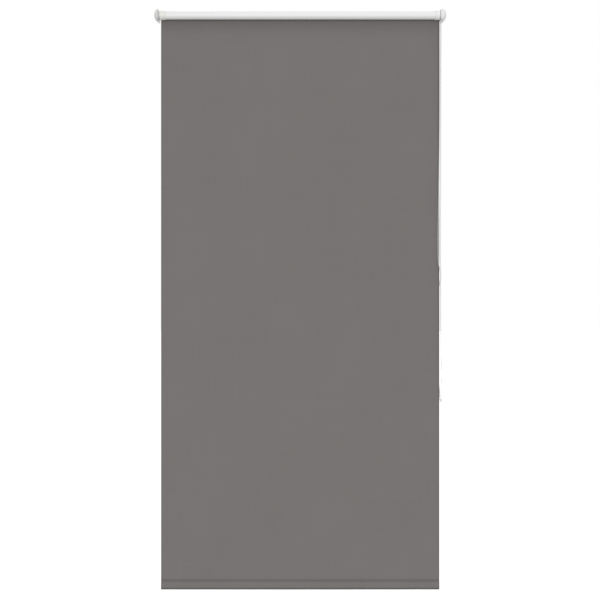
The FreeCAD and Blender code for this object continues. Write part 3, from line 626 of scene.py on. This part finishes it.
def route_line(points, detail=40):
    """Points along the smooth curve that the route controls."""
    curve = bpy.data.curves.new("chain_route", "CURVE")
    curve.dimensions = "3D"
    spline = curve.splines.new("NURBS")
    spline.points.add(len(points) - 1)
    for place, point in zip(points, spline.points):
        point.co = (*place, 1)
    spline.order_u = 3
    spline.use_endpoint_u = True
    spline.resolution_u = detail
    holder = bpy.data.objects.new("chain_route", curve)
    bpy.context.collection.objects.link(holder)
    mesh = bpy.data.meshes.new_from_object(holder)
    line = np.array([v.co for v in mesh.vertices])
    bpy.data.meshes.remove(mesh)
    bpy.data.objects.remove(holder)
    bpy.data.curves.remove(curve)
    return line


def spaced(line, first, last_gap, pitch):
    """Places along a line, evenly spaced near a pitch, from first to last_gap before its end."""
    steps = np.linalg.norm(np.diff(line, axis=0), axis=1)
    run = np.concatenate([[0], np.cumsum(steps)])
    count = round((run[-1] - first - last_gap) / pitch)
    at = np.linspace(first, run[-1] - last_gap, count + 1)
    return np.stack([np.interp(at, run, line[:, k]) for k in range(3)], axis=1)


def frame_about(way):
    """Two directions square to a direction."""
    side = np.cross(way, [0.0, 1.0, 0.0])
    if np.linalg.norm(side) < 0.2:
        side = np.cross(way, [1.0, 0.0, 0.0])
    side /= np.linalg.norm(side)
    return side, np.cross(way, side)


def ball(centre, way, radius, points, faces):
    """One bead with a slight moulding flat at each end, its poles along the chain."""
    sides, rings = 12, 7
    across, up = frame_about(way)
    first = len(points)
    for ring in range(rings):
        angle = math.pi * (0.09 + 0.82 * ring / (rings - 1))
        along = -math.cos(angle) * radius
        width = math.sin(angle) * radius
        for side in range(sides):
            turn = 2 * math.pi * side / sides
            points.append(centre + way * along + (across * math.cos(turn) + up * math.sin(turn)) * width)
    faces += closed_tube(rings, sides, first)


def rod(start, end, radius, points, faces):
    """One link of the chain's cord."""
    sides = 6
    way = (end - start) / np.linalg.norm(end - start)
    across, up = frame_about(way)
    first = len(points)
    for place in (start, end):
        for side in range(sides):
            turn = 2 * math.pi * side / sides
            points.append(place + (across * math.cos(turn) + up * math.sin(turn)) * radius)
    faces += ring_faces(2, sides, first)


def beaded(name, places):
    """Beads at places, joined by links."""
    points, faces = [], []
    ways = np.gradient(places, axis=0)
    ways /= np.linalg.norm(ways, axis=1)[:, None]
    for place, way in zip(places, ways):
        ball(place, way, BEAD_RADIUS, points, faces)
    for here, there in zip(places, places[1:]):
        way = (there - here) / np.linalg.norm(there - here)
        inset = way * (BEAD_RADIUS * 0.9)
        rod(here + inset, there - inset, LINK_RADIUS, points, faces)
    return make_object(name, points, faces)


def chain_strands(material):
    """The chain's free length as beads on their cord."""
    line = route_line(CHAIN_ROUTE)
    chain = beaded("chain_strands", spaced(line, BEAD_PITCH / 2, BEAD_PITCH / 2, BEAD_PITCH))
    finish_piece(chain, "root", "chain_plastic", material, "bead_chain")


def chain_on_wheel(material):
    """The beads in the chain wheel's upper pockets."""
    low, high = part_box("chain_wrap")
    x = (low.x + high.x) / 2
    reach = BEAD_PITCH * WHEEL_POCKETS / (2 * math.pi)
    angles = [2 * math.pi * n / WHEEL_POCKETS for n in range(WHEEL_POCKETS // 2 + 1)]
    places = [(x, AXIS_Y - reach * math.cos(a), reach * math.sin(a)) for a in angles]
    places = [(x, AXIS_Y - reach, -BEAD_PITCH)] + places + [(x, AXIS_Y + reach, -BEAD_PITCH)]
    finish_piece(beaded("chain_on_wheel", np.array(places)), "root", "chain_plastic", material, "chain_wrap")


# Idler


def return_spring(material):
    """The coil behind the idler's pin, wound from end to end of the CAD spring."""
    low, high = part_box("idler_spring")
    steps, sides = 24, 10
    reach = (high.z - low.z) / 2 - RETURN_WIRE
    start, end = low.x + RETURN_WIRE, high.x - RETURN_WIRE
    climb = (end - start) / (2 * math.pi * RETURN_TURNS)
    rings = RETURN_TURNS * steps + 1
    points = []
    for n in range(rings):
        turn = 2 * math.pi * n / steps
        outward = Vector((0, math.cos(turn), math.sin(turn)))
        way = Vector((climb, -reach * math.sin(turn), reach * math.cos(turn))).normalized()
        across = way.cross(outward)
        middle = Vector((start + climb * turn, AXIS_Y, 0)) + outward * reach
        for side in range(sides):
            angle = 2 * math.pi * side / sides
            points.append(middle + (outward * math.cos(angle) + across * math.sin(angle)) * RETURN_WIRE)
    spring = make_object("return_spring", points, closed_tube(rings, sides))
    finish_piece(spring, "roller", "steel", material, "idler_spring")
    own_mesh(spring)


# Whole blind


def main():
    """Build the whole scene, the camera and the chain first."""
    place_camera()
    materials = make_materials()
    chain_strands(materials["chain_plastic"])
    chain_on_wheel(materials["chain_plastic"])
    lay_floor()
    light_studio()
    paint_nodes(materials)
    return_spring(materials["steel"])
    panel = cloth_panel(materials["fabric"])
    # Darkened copies of the cloth: painted shade for the seam's crease and the hem's underside, and the thread's
    # own darker tone.
    seam = cloth_material("cloth_seam", CLOTH_COLOUR, SEAM_PAINTED_SHADE)
    fold = cloth_material("cloth_fold", CLOTH_COLOUR, FOLD_PAINTED_SHADE)
    hem = hem_fold(materials["fabric"], seam, fold)
    stitches = seam_stitches(cloth_material("thread", CLOTH_COLOUR, THREAD_PRESS))


main()
